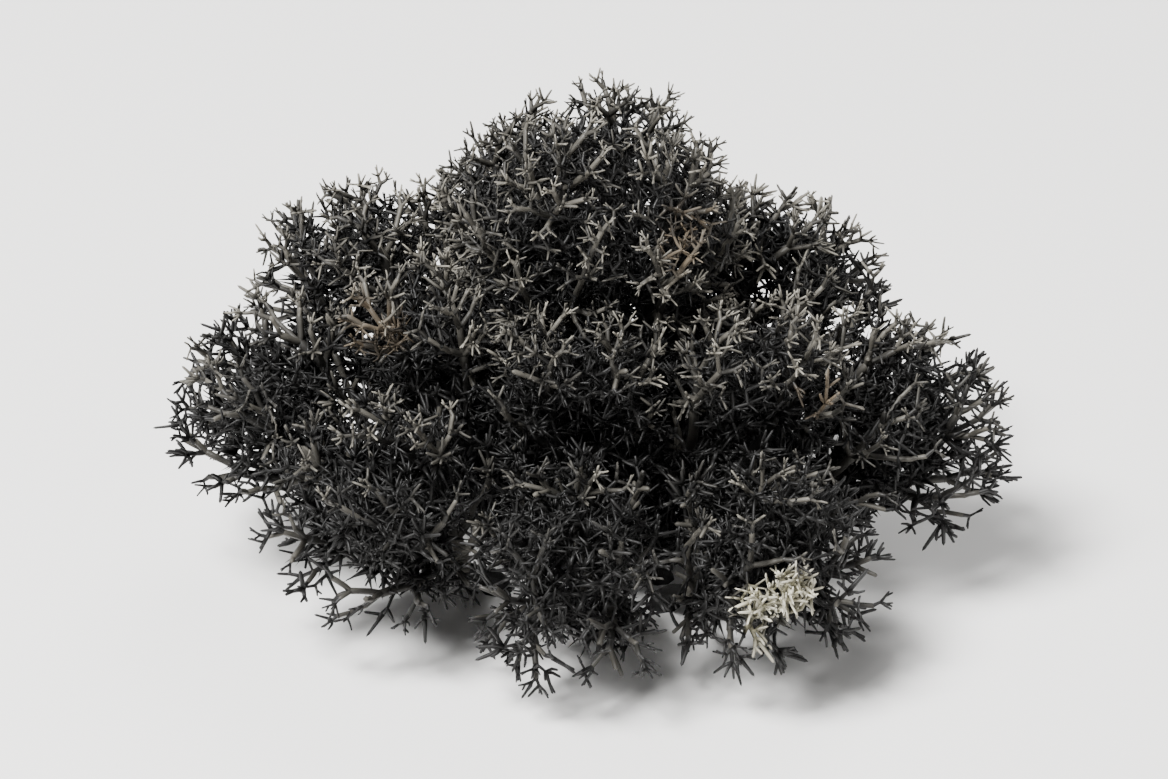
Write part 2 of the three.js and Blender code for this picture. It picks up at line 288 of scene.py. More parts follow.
def grow(podetium, planes, start, points, level):
    """A fork as a dictionary: where it is, how many growing points it serves, and its arms."""
    if len(points) == 1:
        return dict(at=points[0], tips=1, arms=[])
    middle = points.mean(axis=0)
    whole = np.linalg.norm(middle - start)
    spread = math.sqrt(((points - middle) ** 2).sum() / len(points))
    depth = FORK_DEPTH[min(level, len(FORK_DEPTH) - 1)] * spread
    at = start + (middle - start) * min(max(1 - depth / whole, FORK_SHARE[0]), FORK_SHARE[1])
    at[0] += SWAY * whole * wobble(len(points), level + podetium["seed"])
    at[1] += SWAY * whole * wobble(-len(points), level + podetium["seed"])
    at = keep_inside(at, planes, FORK_MARGIN)
    inward = unit(at - start)
    ways = points - at
    lengths = np.linalg.norm(ways, axis=1)
    ahead = points[(lengths > LEAST_TWIG) & (ways @ inward > lengths * math.cos(WIDEST_ARM))]
    if len(ahead) < 2:
        return dict(at=ahead[0] if len(ahead) else points[0], tips=1, arms=[])
    centre = head_middle(podetium)
    rise = (LOBE_BULGE[level] if level < len(LOBE_BULGE) else 0) * podetium["r"]
    most = MOST_ARMS if len(ahead) > WIDE_WHORL or len(ahead) == MOST_ARMS else MOST_ARMS - 1
    arms = []
    for group in whorl_of(ahead, at, min(most, len(ahead))):
        lobe = bulge(group, centre, rise, planes) if rise and len(group) > 1 else group
        arms.append(grow(podetium, planes, at, lobe, level + 1))
    return dict(at=at, tips=len(points), arms=arms)


def tips_of(tree):
    """The places of all the growing points that a fork serves in the end."""
    if not tree["arms"]:
        return [tree["at"]]
    return [tip for arm in tree["arms"] for tip in tips_of(arm)]


# %% [markdown]
# ## How deep a place lies
# Only the outer few millimetres of the clump see light, and the young tips grow there. So the colour
# of a twig follows from how deep it lies, and so does the place for the next one: darker deeper in,
# partly as older twigs and partly as painted shade. The growing points around it give the measure,
# because a head is lobed and pressed in, and a ball would be too simple.

# %% Depth in a head
SHADE_DEPTH = 5.0  # at which a twig is as old and as dark in painted shade as it gets, mm
LOW_SHADE = ((3, 20), (2.4, 0))  # heights, and the painted shade low down that they add to the depth of a place, mm
FIRST_DEPTH = 1.1  # least depth of a finer twig's end and the body's reach past its planes, mm
BURIED_SHARE = 0.9  # of another head's radius, inside which a place is buried among heads
NEAR_A_TIP = 0.94  # least likeness of a way to the next growing point's, as a cosine
NEXT_TIPS = 3  # growing points whose mean reach is the body's reach
LEAST_TOWARDS = 1e-3  # of a way towards a plane, as a cosine, so that nothing is divided by zero
SKIRT = 1.1  # widest part under a head, in its radius
SKIRT_POWER = 0.45  # by which that widens with height

head_radii = np.array([podetium["r"] for podetium in PODETIA])
head_middles = np.array([head_middle(podetium) for podetium in PODETIA])


class Head:
    """The body of a podetium, as its growing points and its planes give it."""

    def __init__(self, podetium, planes, tips):
        self.r = podetium["r"]
        self.planes = planes
        self.lowest = math.cos(math.radians(podetium["sweep"]))
        self.centre = head_middle(podetium)
        self.ways = unit(tips - self.centre)
        self.reach = np.linalg.norm(tips - self.centre, axis=1)

    def surface(self, ways):
        """How far the body reaches along each way from its middle."""
        likeness = ways @ self.ways.T
        nearest = np.argsort(-likeness, axis=1)[:, :NEXT_TIPS]
        normals, offsets = self.planes
        towards = np.maximum(ways @ normals.T, LEAST_TOWARDS)
        sides = ((offsets - normals @ self.centre) / towards).min(axis=1) + FIRST_DEPTH
        sides = np.minimum(sides, self.r)
        return np.where(likeness.max(axis=1) > NEAR_A_TIP, self.reach[nearest].mean(axis=1), sides)

    def depth(self, points):
        """How deep points lie in the body, and which of them are in the cone under the head."""
        out = points - self.centre
        in_head = self.surface(unit(out)) - np.linalg.norm(out, axis=1)
        height = np.clip(points[:, 2] / self.centre[2], 0, 1)
        axis = self.centre[:2] * (FOOT_SPLAY + (1 - FOOT_SPLAY) * height)[:, None]
        width = SKIRT * self.r * height**SKIRT_POWER
        in_skirt = width - np.linalg.norm(points[:, :2] - axis, axis=1)
        under = out[:, 2] < self.lowest * np.linalg.norm(out, axis=1)
        return np.where(under, in_skirt, in_head), under

    def buried(self, points):
        """How deep points lie in the clump, in their own head or among the others."""
        gaps = np.linalg.norm(points[:, None] - head_middles[None], axis=2)
        # Between heads a place counts as buried, so painted shade darkens it there.
        among_heads = (BURIED_SHARE * head_radii - gaps).max(axis=1)
        return np.maximum(self.depth(points)[0], among_heads)

    def age(self, points):
        """From 0 at the clump's lit surface to 1 where it is old and dark: older dye and painted shade.
        """
        # Painted shade: darker with depth in the clump, between heads and low down.
        shade = self.buried(points) + np.interp(points[:, 2], *LOW_SHADE)
        return np.clip(shade / SHADE_DEPTH, 0, 1)


# %% [markdown]
# ## Hollows
# A real cushion isn't even: between its branchlets are dark hollows a few millimetres wide, more of
# them low down, where it is older. A smooth noise in space says where they are. Leaving out twigs
# at random would only thin a head evenly.

# %% Hollows
HOLLOW_SIZE = 3.2  # from one hollow to the next, about, mm
HOLLOW_HEIGHTS = (8, 24)  # mm
HOLLOW_LEVELS = (0.14, -0.2)  # of the noise at these heights, under which it is a hollow
HOLLOW_DEPTHS = (4.2, 3.2)  # of a hollow's floor at these heights, mm
BARE_LEVEL = 0.16  # by which the noise is lower where even growing points are missing


def hollow(point, below=0.0):
    """Whether a place lies in a hollow, or in the middle of one if below is more than nothing."""
    level = np.interp(point[2], HOLLOW_HEIGHTS, HOLLOW_LEVELS)
    return noise.noise(Vector(point) / HOLLOW_SIZE) < level - below


# %% [markdown]
# ## Patches of another colour
# Dye doesn't take evenly. The crown has a rusty patch at its right, two heads have smaller ones, and
# on the lowest head at the right a dense tuft stayed nearly as pale as the lichen grew. Each patch is
# a ball in space, and what lies inside it takes its colour. Painting thousands of twigs by hand would
# take days.

# %% Patches
RUST_PATCHES = [((8.0, -5.0, 26.5), 2.6), ((-12.5, -9.0, 19.5), 2.2), ((17.0, -9.0, 18.0), 1.8)]
PALE_TUFTS = [((15.5, -19.7, 9.3), 1.1), ((17.4, -19.0, 9.8), 1.35), ((15.0, -20.1, 7.2), 0.6)]
PATCH_EDGE = 0.8  # over which a patch fades, mm


def inside(patches, points):
    """How far each point is inside the nearest patch, from 0 to 1."""
    depths = [radius - np.linalg.norm(points - np.array(middle), axis=1) for middle, radius in patches]
    return np.clip(np.max(depths, axis=0) / PATCH_EDGE + 0.5, 0, 1)


def look_at(head, points, tone):
    """What the colour of a stalk reads at each of its points."""
    rust = inside(RUST_PATCHES, points)
    pale = inside(PALE_TUFTS, points)
    return dict(age=head.age(points), rust=rust, pale=pale, tone=tone)


print("patches:", len(RUST_PATCHES), "rusty and", len(PALE_TUFTS), "pale")

# %% [markdown]
# ## The skeleton of a podetium
# A skeleton is a mesh without faces: a chain of points and edges for each stalk and twig, and a
# loose point for each star whorl. Every point carries the numbers that the next steps read, such as
# its thickness. Drawing each stalk's skin by hand would be the other way, and a much longer one.

# %% Skeleton
POINT_VALUES = ("thickness", "age", "tone", "rust", "pale", "star", "kind")


class Skeleton:
    """Points in millimetres, the edges between them, and a value of each kind for each point."""

    def __init__(self):
        self.points = []
        self.edges = []
        self.ways = []
        self.values = {name: [] for name in POINT_VALUES}

    def add(self, point, way, **values):
        self.points.append(point)
        self.ways.append(way)
        for name in POINT_VALUES:
            self.values[name].append(values.get(name, 0.0))

    def chain(self, points, thickness, **values):
        first = len(self.points)
        ways = unit(np.gradient(points, axis=0))
        for i, point in enumerate(points):
            here = {name: value[i] if np.ndim(value) else value for name, value in values.items()}
            self.add(point, ways[i], thickness=thickness[i], **here)
        self.edges += [(i, i + 1) for i in range(first, first + len(points) - 1)]


# %% Curved stalks
def curved(start, end, leaves, arrives, steps):
    """Points on a smooth cubic curve between two places, with the way it leaves and arrives."""
    length = np.linalg.norm(end - start)
    s = np.linspace(0, 1, steps + 1)[:, None]
    return (
        (2 * s**3 - 3 * s**2 + 1) * start
        + (s**3 - 2 * s**2 + s) * leaves * length
        + (3 * s**2 - 2 * s**3) * end
        + (s**3 - s**2) * arrives * length
    )


# %% Thickness
TWIG_RADIUS = 0.145  # of a twig that serves one growing point, mm
THICKENING = 0.245  # power by which a stalk thickens with what it serves
CAP_REACH = 0.6  # of a stalk's rounded end past its fork, in its radius
CAP_RADIUS = 0.5  # of that end, in the same radius
ARM_START = 0.85  # radius in which an arm starts, in its stalk's


def radius_of(tips):
    return TWIG_RADIUS * tips**THICKENING


print("a stalk that serves 50 growing points is", round(2 * radius_of(50), 2), "mm thick")

# %% [markdown]
# ## Stalks and outer stars
# Every arm is drawn as a curve that leaves its fork widely and bends towards its own fork, as real
# podetia do. The last ones end in a star whorl at their growing point, unless that lies in a
# hollow. Straight arms would be simpler, and look like wire.

# %% Kinds of star
# Each star as its rays, how many of them fork, and the sides and rings of a ray.
OUTER_STARS = (
    (2, 1, 4, 3),
    (2, 2, 4, 3),
    (3, 1, 4, 3),
    (3, 2, 4, 3),
    (3, 1, 4, 3),
    (4, 1, 4, 3),
    (5, 0, 4, 3),
)
INNER_STARS = ((2, 1, 3, 2), (2, 2, 3, 2), (3, 1, 3, 2), (3, 0, 3, 3))
DEEP_STARS = ((3, 0, 3, 1), (4, 0, 3, 1))
STAR_KINDS = OUTER_STARS + INNER_STARS + DEEP_STARS
FIRST_INNER = len(OUTER_STARS)
FIRST_DEEP = FIRST_INNER + len(INNER_STARS)
print("kinds of star:", len(OUTER_STARS), "outer,", len(INNER_STARS), "inner,", len(DEEP_STARS), "deep")

# %% Draw the last twigs
STAR_SHARE = 0.4  # of a twig's length at which its star starts
STAR_REACH = 1.15  # of a star from its start, in what is left of that length
STAR_SIZE = (1.1, 1.7)  # least and most length of a star's rays, mm
STAR_HEIGHTS = ((8, 28), (1.15, 0.78))  # heights, mm, and the size of stars there
TWIG_TAPER = np.array([1.1, 0.95, 0.85])  # of a twig towards its star


def add_twig(skeleton, head, path, radii, star, kind, rng):
    """A twig along its path, with a star at its end."""
    look = look_at(head, path, rng.uniform())
    skeleton.chain(path, radii, **look)
    hub = {name: value[-1] if np.ndim(value) else value for name, value in look.items()}
    skeleton.add(path[-1], unit(path[-1] - path[-2]), star=star, kind=kind, **hub)


def draw_last_twig(skeleton, head, start, end, leaves, rng):
    """A twig towards a growing point, with one of the outer stars for the rest of the way."""
    length = np.linalg.norm(end - start)
    steps = len(TWIG_TAPER) - 1
    path = curved(start, start + (end - start) * STAR_SHARE, leaves, unit(end - start), steps)
    star = min(max(STAR_REACH * (1 - STAR_SHARE) * length, STAR_SIZE[0]), STAR_SIZE[1])
    star *= np.interp(end[2], *STAR_HEIGHTS)
    kind = rng.integers(FIRST_INNER)
    add_twig(skeleton, head, path, TWIG_TAPER * TWIG_RADIUS, star, kind, rng)


# %% Draw the stalks
BOW = 0.55  # by which an arm leaves its fork wider than its straight way
ARRIVAL = 0.5  # by which a stalk turns to the way of its arms before it parts
STALK_STEP = 0.9  # between the points of a stalk, mm
LEAST_STEPS = 3  # of a stalk
STALK_GAP = 0.1  # from a stalk's skin to the planes, mm
WIDEST_START = 1.1  # radius at a stalk's start at most, in that at its end
UNEVEN_STALK = 0.07  # share by which a stalk's radius strays
STALK_AGE_AND_SHADE = 0.33  # a stalk gets this share of a twig's age and painted shade at its place


def way_of_arms(tree):
    """The mean way of the arms that leave a fork."""
    return unit(np.mean([unit(arm["at"] - tree["at"]) for arm in tree["arms"]], axis=0))


def draw_arm(skeleton, head, start, parent_way, tree, rng, start_radius):
    """Draws the stalk from a fork to the next and everything that grows from it."""
    end = tree["at"]
    straight = unit(end - start)
    outward = straight - parent_way * (straight @ parent_way)
    leaves = unit(straight + BOW * outward)
    if not tree["arms"]:
        if not hollow(end, BARE_LEVEL):
            draw_last_twig(skeleton, head, start, end, leaves, rng)
        return
    way = way_of_arms(tree)
    radius = radius_of(tree["tips"])
    steps = max(LEAST_STEPS, math.ceil(np.linalg.norm(end - start) / STALK_STEP))
    path = curved(start, end, leaves, unit(straight + ARRIVAL * way), steps)
    path = np.array([keep_inside(point, head.planes, STALK_GAP + radius) for point in path])
    radii = np.linspace(min(start_radius, WIDEST_START * radius), radius, steps + 1)
    radii *= 1 + UNEVEN_STALK * rng.uniform(-1, 1, steps + 1)
    path = np.vstack([path, path[-1] + way * radius * CAP_REACH])
    look = look_at(head, path, rng.uniform())
    # Stalks take less of the painted shade than twigs.
    look["age"] = STALK_AGE_AND_SHADE * look["age"]
    skeleton.chain(path, [*radii, radius * CAP_RADIUS], **look)
    for arm in tree["arms"]:
        draw_arm(skeleton, head, path[-2], way, arm, rng, ARM_START * radius)


# %% [markdown]
# ## The tangle inside a head
# Under its outer stars a head is a dense tangle of finer twigs, which hides its own inside. Places
# for them are spread through its body, fewer near its surface, where the outer stars are, and in
# its core, which nobody sees. Each is reached by a twig from the nearest branch that already stands,
# as a plant fills free space. Side branches drawn at random would leave some places bald and others
# crowded.

# %% Places for finer twigs
PLACE_SPACING = 0.9  # mm
DEEP = 3.2  # depth from which a place is hidden, mm
CORE = 5.0  # depth from which nothing is ever seen, mm
CORE_SHARE = 0.15  # of the places kept in there
SURFACE_SHARE = ((8, 26), (0.28, 0.75))  # heights, mm, and of the places at the surface there
SKIRT_PLACES = 0.9  # of the places kept under a head
LOWEST_PLACE = 2.8  # mm
PLANE_GAP = 0.2  # of a place from its head's planes, mm
TUFT_SPACING = 0.62  # between places in a pale tuft, mm


def scattered(low, high, spacing, rng):
    """One place at random in each cell of a lattice."""
    cells = [np.arange(low[k], high[k], spacing) for k in range(3)]
    places = np.stack(np.meshgrid(*cells, indexing="ij"), axis=-1).reshape(-1, 3)
    return places + rng.uniform(0, spacing, places.shape)


def behind_planes(places, planes):
    return (places @ planes[0].T - planes[1]).max(axis=1) < -PLANE_GAP


def fill_places(head, rng):
    """Places in the whole body, and closer ones where a pale tuft lies in it."""
    low, high = head.centre - head.r, head.centre + head.r
    low[2] = LOWEST_PLACE
    places = scattered(low, high, PLACE_SPACING, rng)
    places = places[behind_planes(places, head.planes)]
    depth, under = head.depth(places)
    shallow = np.clip((DEEP - depth) / (DEEP - FIRST_DEPTH), 0, 1)
    share = 1 - shallow * (1 - np.interp(places[:, 2], *SURFACE_SHARE))
    share = np.where(depth > CORE, CORE_SHARE, share) * np.where(under, SKIRT_PLACES, 1)
    kept = (depth > FIRST_DEPTH) & (rng.uniform(size=len(places)) < share)
    floor = np.interp(places[:, 2], HOLLOW_HEIGHTS, HOLLOW_DEPTHS)
    kept &= (depth > floor) | under | [not hollow(place) for place in places]
    found = [places[kept]]
    for middle, radius in PALE_TUFTS:
        tuft = scattered(np.array(middle) - radius, np.array(middle) + radius, TUFT_SPACING, rng)
        tuft = tuft[(np.linalg.norm(tuft - middle, axis=1) < radius) & behind_planes(tuft, head.planes)]
        found.append(tuft[head.depth(tuft)[0] > 0])
    return np.vstack(found)


# %% Reach the places
FINE_RADIUS = 0.12  # of the finer twigs, mm
FINE_TAPER = (1.15, 0.9)  # of such a twig at its start and its end, in that radius
FINE_STAR = (0.9, 1.5)  # least and most length of their stars' rays, mm
DEEP_STAR = (1.4, 2.1)  # the same where the star is hidden
FINE_BOW = 0.6  # by which a finer twig keeps its branch's way, and then turns out of the head
FINE_STEPS = 2  # of a finer twig that can be seen
CROWDED = 0.42  # distance to a branch under which a place is left out, mm
LEAST_AHEAD = 0.3  # of a place from its branch, along the way out of the head, as a cosine


def fill_head(skeleton, head, first_fork, rng):
    """Twigs from the standing branches to every place, the innermost first."""
    places = fill_places(head, rng)
    places = places[np.argsort(np.linalg.norm(places - first_fork, axis=1))]
    hidden = head.buried(places) > DEEP
    stems = np.zeros((len(skeleton.points) + (FINE_STEPS + 1) * len(places), 3))
    standing = len(skeleton.points)
    stems[:standing] = skeleton.points
    for place, deep in zip(places, hidden):
        way_out = unit(place - first_fork)
        to_place = place - stems[:standing]
        lengths = np.linalg.norm(to_place, axis=1)
        if lengths.min() < CROWDED:
            continue
        lengths[to_place @ way_out < LEAST_AHEAD * lengths] = np.inf
        stem = int(lengths.argmin())
        straight = unit(to_place[stem])
        leaves = unit(straight + FINE_BOW * skeleton.ways[stem])
        steps = 1 if deep else FINE_STEPS
        path = curved(stems[stem], place, leaves, unit(straight + FINE_BOW * way_out), steps)
        first, end = (FIRST_DEEP, len(STAR_KINDS)) if deep else (FIRST_INNER, FIRST_DEEP)
        kind = rng.integers(first, end)
        radii = np.linspace(*FINE_TAPER, steps + 1) * FINE_RADIUS
        star = rng.uniform(*(DEEP_STAR if deep else FINE_STAR)) * np.interp(place[2], *STAR_HEIGHTS)
        add_twig(skeleton, head, path, radii, star, kind, rng)
        stems[standing : standing + steps + 1] = path
        standing += steps + 1


# %% Draw the foot
FOOT_RADIUS = 1.1  # of the cut foot, mm
FOOT_HEIGHT = 2.2  # over which it narrows, mm
FOOT_POWER = 0.5  # by which it narrows with height
FOOT_RISE = 0.5  # by which the stalk leaves its foot steeper than its straight way
ANKLE_HEIGHT = 0.4  # up to which the foot stands upright, mm
UNEVEN_FOOT = 0.08  # share by which the radius strays
UPWARDS = np.array([0.0, 0.0, 1.0])


def draw_foot(skeleton, foot, tree, rng):
    """The main stalk from its cut foot to the first fork, all of it old and dark, in full painted
    shade.
    """
    radius = radius_of(tree["tips"])
    way = unit(tree["at"] - foot)
    arms_way = way_of_arms(tree)
    ankle = foot + ANKLE_HEIGHT * UPWARDS
    steps = math.ceil(np.linalg.norm(tree["at"] - ankle) / STALK_STEP)
    leaves = unit(way + FOOT_RISE * UPWARDS)
    path = curved(ankle, tree["at"], leaves, unit(way + ARRIVAL * arms_way), steps)
    path = np.vstack([foot, path])
    narrowing = np.clip(path[:, 2] / FOOT_HEIGHT, 0, 1) ** FOOT_POWER
    radii = FOOT_RADIUS + (radius - FOOT_RADIUS) * narrowing
    radii[2:] *= 1 + UNEVEN_FOOT * rng.uniform(-1, 1, len(radii) - 2)
    cap = path[-1] + arms_way * radius * CAP_REACH
    skeleton.chain([*path, cap], [*radii, radius * CAP_RADIUS], age=1.0, tone=rng.uniform())
    return path[-1]


# %% Draw every podetium
TWIG_SEED = 100  # added to a podetium's seed, so that its twigs have draws of their own


def draw_podetium(podetium):
    """The skeleton of a podetium: its foot, its stalks with the outer stars, and its tangle."""
    planes = shared_planes(podetium)
    foot = np.array([podetium["x"] * FOOT_SPLAY, podetium["y"] * FOOT_SPLAY, 0.0])
    tree = grow(podetium, planes, foot, growing[podetium["name"]], 0)
    head = Head(podetium, planes, np.array(tips_of(tree)))
    rng = np.random.default_rng(podetium["seed"] + TWIG_SEED)
    skeleton = Skeleton()
    fork = draw_foot(skeleton, foot, tree, rng)
    arms_way = way_of_arms(tree)
    for arm in tree["arms"]:
        draw_arm(skeleton, head, fork, arms_way, arm, rng, ARM_START * radius_of(tree["tips"]))
    fill_head(skeleton, head, tree["at"], rng)
    return skeleton


skeletons = {podetium["name"]: draw_podetium(podetium) for podetium in PODETIA}
for name, skeleton in skeletons.items():
    stars = int(np.count_nonzero(skeleton.values["star"]))
    print(name, "has", len(skeleton.edges), "lengths of stalk and", stars, "stars")

# %% [markdown]
# ## Star whorls
# A tip of this lichen is a whorl of two to five curved rays round a tiny opening, and some rays fork
# once more. A few different stars are made once, with a seeded rule for their bends, and then placed
# thousands of times. One star alone would show as a stamp. Those deeper inside have fewer faces.

# %% Rays of a star
RAY_TAPER = (0.088, 0.058)  # radius at a ray's start and near its end, in the star's size
PRONG_TAPER = (0.07, 0.05)  # the same of a prong
BLUNT_FROM = 0.9  # share of a ray's length where its blunt end starts
RAY_LENGTH = (0.6, 1.0)  # least and most, in the star's size
LEAST_FORKED = 0.85  # least length of a ray that forks, in that size
RAY_LEAN = (0.45, 1.25)  # least and most off the twig's way, radians
RAY_TURN = 0.18  # by which a ray strays from its place in the whorl, as a share of the gaps
OUT_BEND = (-0.55, 0.3)  # of a ray into its whorl or out of it, in its length
UP_BEND = (-0.25, 0.5)  # along the twig's way
FORK_AT = 0.48  # share of a ray's length at which it forks
PRONG_SPREAD = (0.4, 0.8)  # off the ray's way, radians
PRONG_BEND = -0.35  # of a prong back to the ray's way, in its length
PRONG_LENGTH = (0.45, 0.62)  # in the ray's


def add_tube(bm, start, way, bend, length, radii, shares, sides, share_layer):
    """A bent tube with a blunt end. The shares are how far along its ray it starts and ends."""
    across, along = (Vector(side) for side in sideways(np.array(way + bend / 2)))
    rings = []
    for station, radius in zip(np.linspace(0, BLUNT_FROM, len(radii)), radii):
        middle = start + (way + bend * station) * (length * station)
        ring = []
        for k in range(sides):
            angle = FULL_TURN * k / sides
            out = across * math.cos(angle) + along * math.sin(angle)
            corner = bm.verts.new(middle + out * radius)
            corner[share_layer] = shares[0] + (shares[1] - shares[0]) * station
            ring.append(corner)
        rings.append(ring)
    for near, far in zip(rings, rings[1:]):
        for k in range(sides):
            bm.faces.new((near[k], near[(k + 1) % sides], far[(k + 1) % sides], far[k]))
    point = bm.verts.new(start + (way + bend) * length)
    point[share_layer] = shares[1]
    for k in range(sides):
        bm.faces.new((rings[-1][k], rings[-1][(k + 1) % sides], point))
    bm.faces.new(tuple(reversed(rings[0])))


def add_forked_ray(bm, way, bend, length, sides, share_layer, rng):
    """A ray that parts into two prongs, which bend back to its way like a tuning fork's."""
    stem_bend = bend * FORK_AT
    stem_length = length * FORK_AT
    stem_radii = (RAY_TAPER[0], PRONG_TAPER[0])
    middle = Vector((0, 0, 0))
    add_tube(bm, middle, way, stem_bend, stem_length, stem_radii, (0, FORK_AT), sides, share_layer)
    fork = middle + (way + stem_bend * BLUNT_FROM) * (stem_length * BLUNT_FROM)
    onwards = (way + stem_bend * 2).normalized()
    across, along = (Vector(side) for side in sideways(np.array(onwards)))
    turn = rng.uniform(0, FULL_TURN)
    side = across * math.cos(turn) + along * math.sin(turn)
    for out in (side, -side):
        spread = rng.uniform(*PRONG_SPREAD)
        prong_way = onwards * math.cos(spread) + out * math.sin(spread)
        prong_length = length * rng.uniform(*PRONG_LENGTH)
        bend_back = out * PRONG_BEND
        shares = (FORK_AT, 1)
        add_tube(bm, fork, prong_way, bend_back, prong_length, PRONG_TAPER, shares, sides, share_layer)


# %% Make the stars
STAR_SEED = 7


def make_star(name, rays, forked, sides, rings, rng):
    """A whorl of rays of size one, which starts at the origin and looks up."""
    bm = bmesh.new()
    share_layer = bm.verts.layers.float.new("along_ray")
    radii = np.linspace(*RAY_TAPER, rings)
    for ray in range(rays):
        turn = FULL_TURN * (ray + rng.uniform(-RAY_TURN, RAY_TURN)) / rays
        lean = rng.uniform(*RAY_LEAN)
        out = Vector((math.cos(turn), math.sin(turn), 0))
        way = out * math.sin(lean) + Vector((0, 0, math.cos(lean)))
        bend = out * rng.uniform(*OUT_BEND) + Vector((0, 0, rng.uniform(*UP_BEND)))
        length = rng.uniform(*RAY_LENGTH)
        if ray < forked:
            add_forked_ray(bm, way, bend, max(length, LEAST_FORKED), sides, share_layer, rng)
        else:
            add_tube(bm, Vector((0, 0, 0)), way, bend, length, radii, (0, 1), sides, share_layer)
    bmesh.ops.recalc_face_normals(bm, faces=bm.faces)
    mesh = bpy.data.meshes.new(name)
    bm.to_mesh(mesh)
    bm.free()
    return bpy.data.objects.new(name, mesh)


star_rng = np.random.default_rng(STAR_SEED)
star_kinds = bpy.data.collections.new("star_kinds")
for index, star_kind in enumerate(STAR_KINDS):
    star_kinds.objects.link(make_star(f"star_{index:02d}", *star_kind, star_rng))

# %% [markdown]
# ## The lichen's surface
# Dyed lichen is matt and faintly felted. The dye sits darkest in the old stalks, and the young tips
# are greyer and a little warm. On top of that the colour carries painted shade, darker deeper in the
# clump, between heads and low down, and the ray ends carry a partly painted highlight. A single black
# would flatten the whole clump, and a picture wrapped round thousands of twigs would need a place for
# each, so the colour follows the values that the skeleton carries.

# %% Material helpers
def node_of(tree, kind, links=(), **settings):
    """A node with its settings, its named inputs linked or set."""
    node = tree.nodes.new(kind)
    for name, value in settings.items():
        setattr(node, name, value)
    for name, value in dict(links).items():
        if isinstance(value, bpy.types.NodeSocket):
            tree.links.new(value, node.inputs[name])
        else:
            node.inputs[name].default_value = value
    return node


def input_value(tree, name):
    return node_of(tree, "ShaderNodeAttribute", attribute_name=name).outputs["Fac"]


def colour_mix(tree, share, first, second):
    """A mix of two colours, each a colour or the output of another node."""
    node = node_of(tree, "ShaderNodeMix", {"Factor": share}, data_type="RGBA")
    colour_sockets = [socket for socket in node.inputs if socket.type == "RGBA"]
    for socket, value in zip(colour_sockets, (first, second)):
        if isinstance(value, tuple):
            socket.default_value = (*value, 1)
        else:
            tree.links.new(value, socket)
    return next(socket for socket in node.outputs if socket.type == "RGBA")


def mapped(tree, value, given, wanted):
    """A value that goes from one wanted number to the other as it does between the given ones."""
    numbers = dict(zip(("From Min", "From Max", "To Min", "To Max"), given + wanted))
    return node_of(tree, "ShaderNodeMapRange", {"Value": value, **numbers}).outputs["Result"]


def product(tree, first, second):
    node = node_of(tree, "ShaderNodeMath", operation="MULTIPLY")
    tree.links.new(first, node.inputs[0])
    tree.links.new(second, node.inputs[1])
    return node.outputs["Value"]


def noise_of(tree, scale, detail):
    """A noise in the object's own space, about 1 / scale metres from one blot to the next."""
    place = tree.nodes.new("ShaderNodeTexCoord").outputs["Object"]
    links = {"Vector": place, "Scale": scale, "Detail": detail}
    return node_of(tree, "ShaderNodeTexNoise", links).outputs["Fac"]


# %% Colours of the dye
# The darkest dye is also the painted shade deep in the clump, between heads and low down.
DYE_DARK_AND_SHADE = (0.0045, 0.0042, 0.0039)
DYE_GREY = (0.125, 0.116, 0.096)
# The ray ends' grey is partly paler young tips and partly a painted highlight.
TIP_GREY_AND_HIGHLIGHT = (0.320, 0.299, 0.249)
RUST = (0.105, 0.080, 0.052)
PALE_STALK = (0.19, 0.175, 0.105)
PALE_TIP = (0.55, 0.52, 0.42)
YOUNG_AND_UNSHADED = 0.37  # age and painted shade up to which a twig still shows some grey
TONE_BLACK = (0.85, 0)  # share of black in the darkest twigs and in the lightest
EVEN_TONE = 0.8  # from which a twig's tone adds no black
CLOUD_BLACK = (0.35, 0)  # share of black inside a cloud and outside
CLOUD_NOISE = (0.35, 0.65)  # the noise there
CLOUD_SCALE = 180  # cloudy changes of colour about 5 mm across
CLOUD_DETAIL = 2
PALE_SHARE = (0.1, 1)  # of the tip's colour at a ray's start and near its end
PALE_END = 0.9  # share of a ray's length from which its tip is pale all over


def dye_colour(tree):
    """Black inside and low down, partly painted shade, greyer young tips partly painted highlight,
    darker clouds, rusty patches and a nearly undyed tuft.
    """
    tone = input_value(tree, "tone")
    along_ray = input_value(tree, "along_ray")
    # Painted shade: grey at the clump's lit surface, black deeper in, between heads and low down.
    young = mapped(tree, input_value(tree, "age"), (0, YOUNG_AND_UNSHADED), (1, 0))
    grey = colour_mix(tree, young, DYE_DARK_AND_SHADE, DYE_GREY)
    # Towards their ends the rays lighten to the tip grey, partly as a painted highlight.
    tips = colour_mix(tree, product(tree, along_ray, young), grey, TIP_GREY_AND_HIGHLIGHT)
    dark_tone = mapped(tree, tone, (0, EVEN_TONE), TONE_BLACK)
    uneven = colour_mix(tree, dark_tone, tips, DYE_DARK_AND_SHADE)
    clouds = noise_of(tree, CLOUD_SCALE, CLOUD_DETAIL)
    dark_cloud = mapped(tree, clouds, CLOUD_NOISE, CLOUD_BLACK)
    clouded = colour_mix(tree, dark_cloud, uneven, DYE_DARK_AND_SHADE)
    rusty = colour_mix(tree, product(tree, input_value(tree, "rust"), tone), clouded, RUST)
    towards_tip = mapped(tree, along_ray, (0, PALE_END), PALE_SHARE)
    undyed = colour_mix(tree, towards_tip, PALE_STALK, PALE_TIP)
    return colour_mix(tree, input_value(tree, "pale"), rusty, undyed)


# %% Dyed lichen
SHEEN = 0.35  # low, so that the inside of the clump stays black
FELT_SCALE = 9000  # grain of the felt, about 0.1 mm
FELT_DETAIL = 3
FELT_NOISE = (0.3, 0.7)
FELT_ROUGHNESS = (0.45, 0.7)  # at these values of the noise
FELT_HEIGHT = 0.02 * MM
FELT_STRENGTH = 0.6  # share of that height that shows


